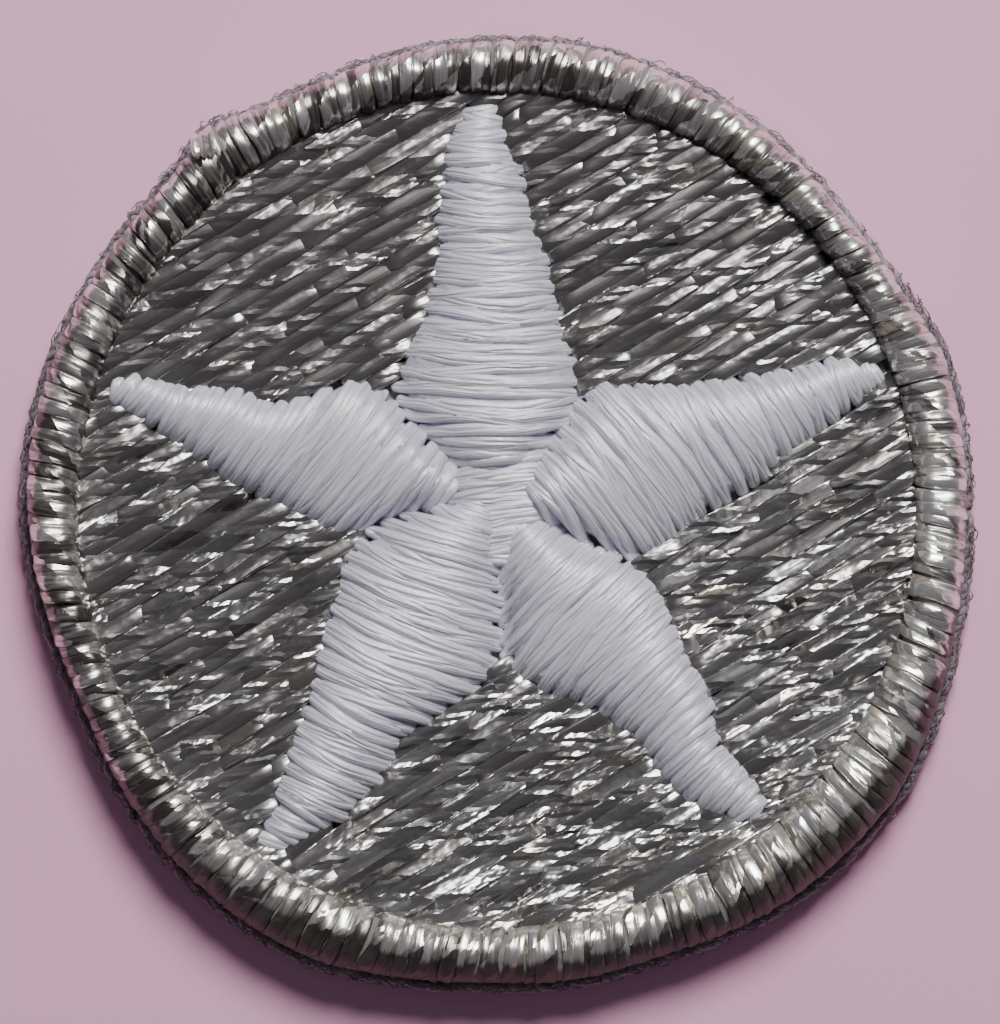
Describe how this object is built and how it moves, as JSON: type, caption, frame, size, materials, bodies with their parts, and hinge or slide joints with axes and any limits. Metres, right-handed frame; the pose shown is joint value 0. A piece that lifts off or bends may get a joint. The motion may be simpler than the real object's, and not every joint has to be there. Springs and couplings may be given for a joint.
{
  "type": "embroidered patch",
  "caption": "Round sew-on patch with a raised satin-stitch star on a field of silver foil thread, bound round the rim with an overedged silver binding.",
  "frame": {"origin": "centre of the patch on the plane of its back", "axes": "+Z out of the embroidered face, +Y towards the star's top arm, +X to the right as the face is seen"},
  "size_m": [0.0254, 0.0254, 0.0021],
  "materials": {
    "ground_cloth": "plain woven cotton ground with its stiffening",
    "silver_thread": "silver foil wound on a core thread, bright in flecks",
    "binding_thread": "silver foil thread, sewn densely over the edge",
    "white_thread": "white satin-stitch thread with a soft sheen"
  },
  "bodies": {
    "root": {"base_cloth": "ground_cloth", "silver_field": "silver_thread", "merrow_border": "binding_thread", "star_arm_top": "white_thread", "star_arm_upper_right": "white_thread", "star_arm_lower_right": "white_thread", "star_arm_lower_left": "white_thread", "star_arm_upper_left": "white_thread"}
  },
  "joints": []
}
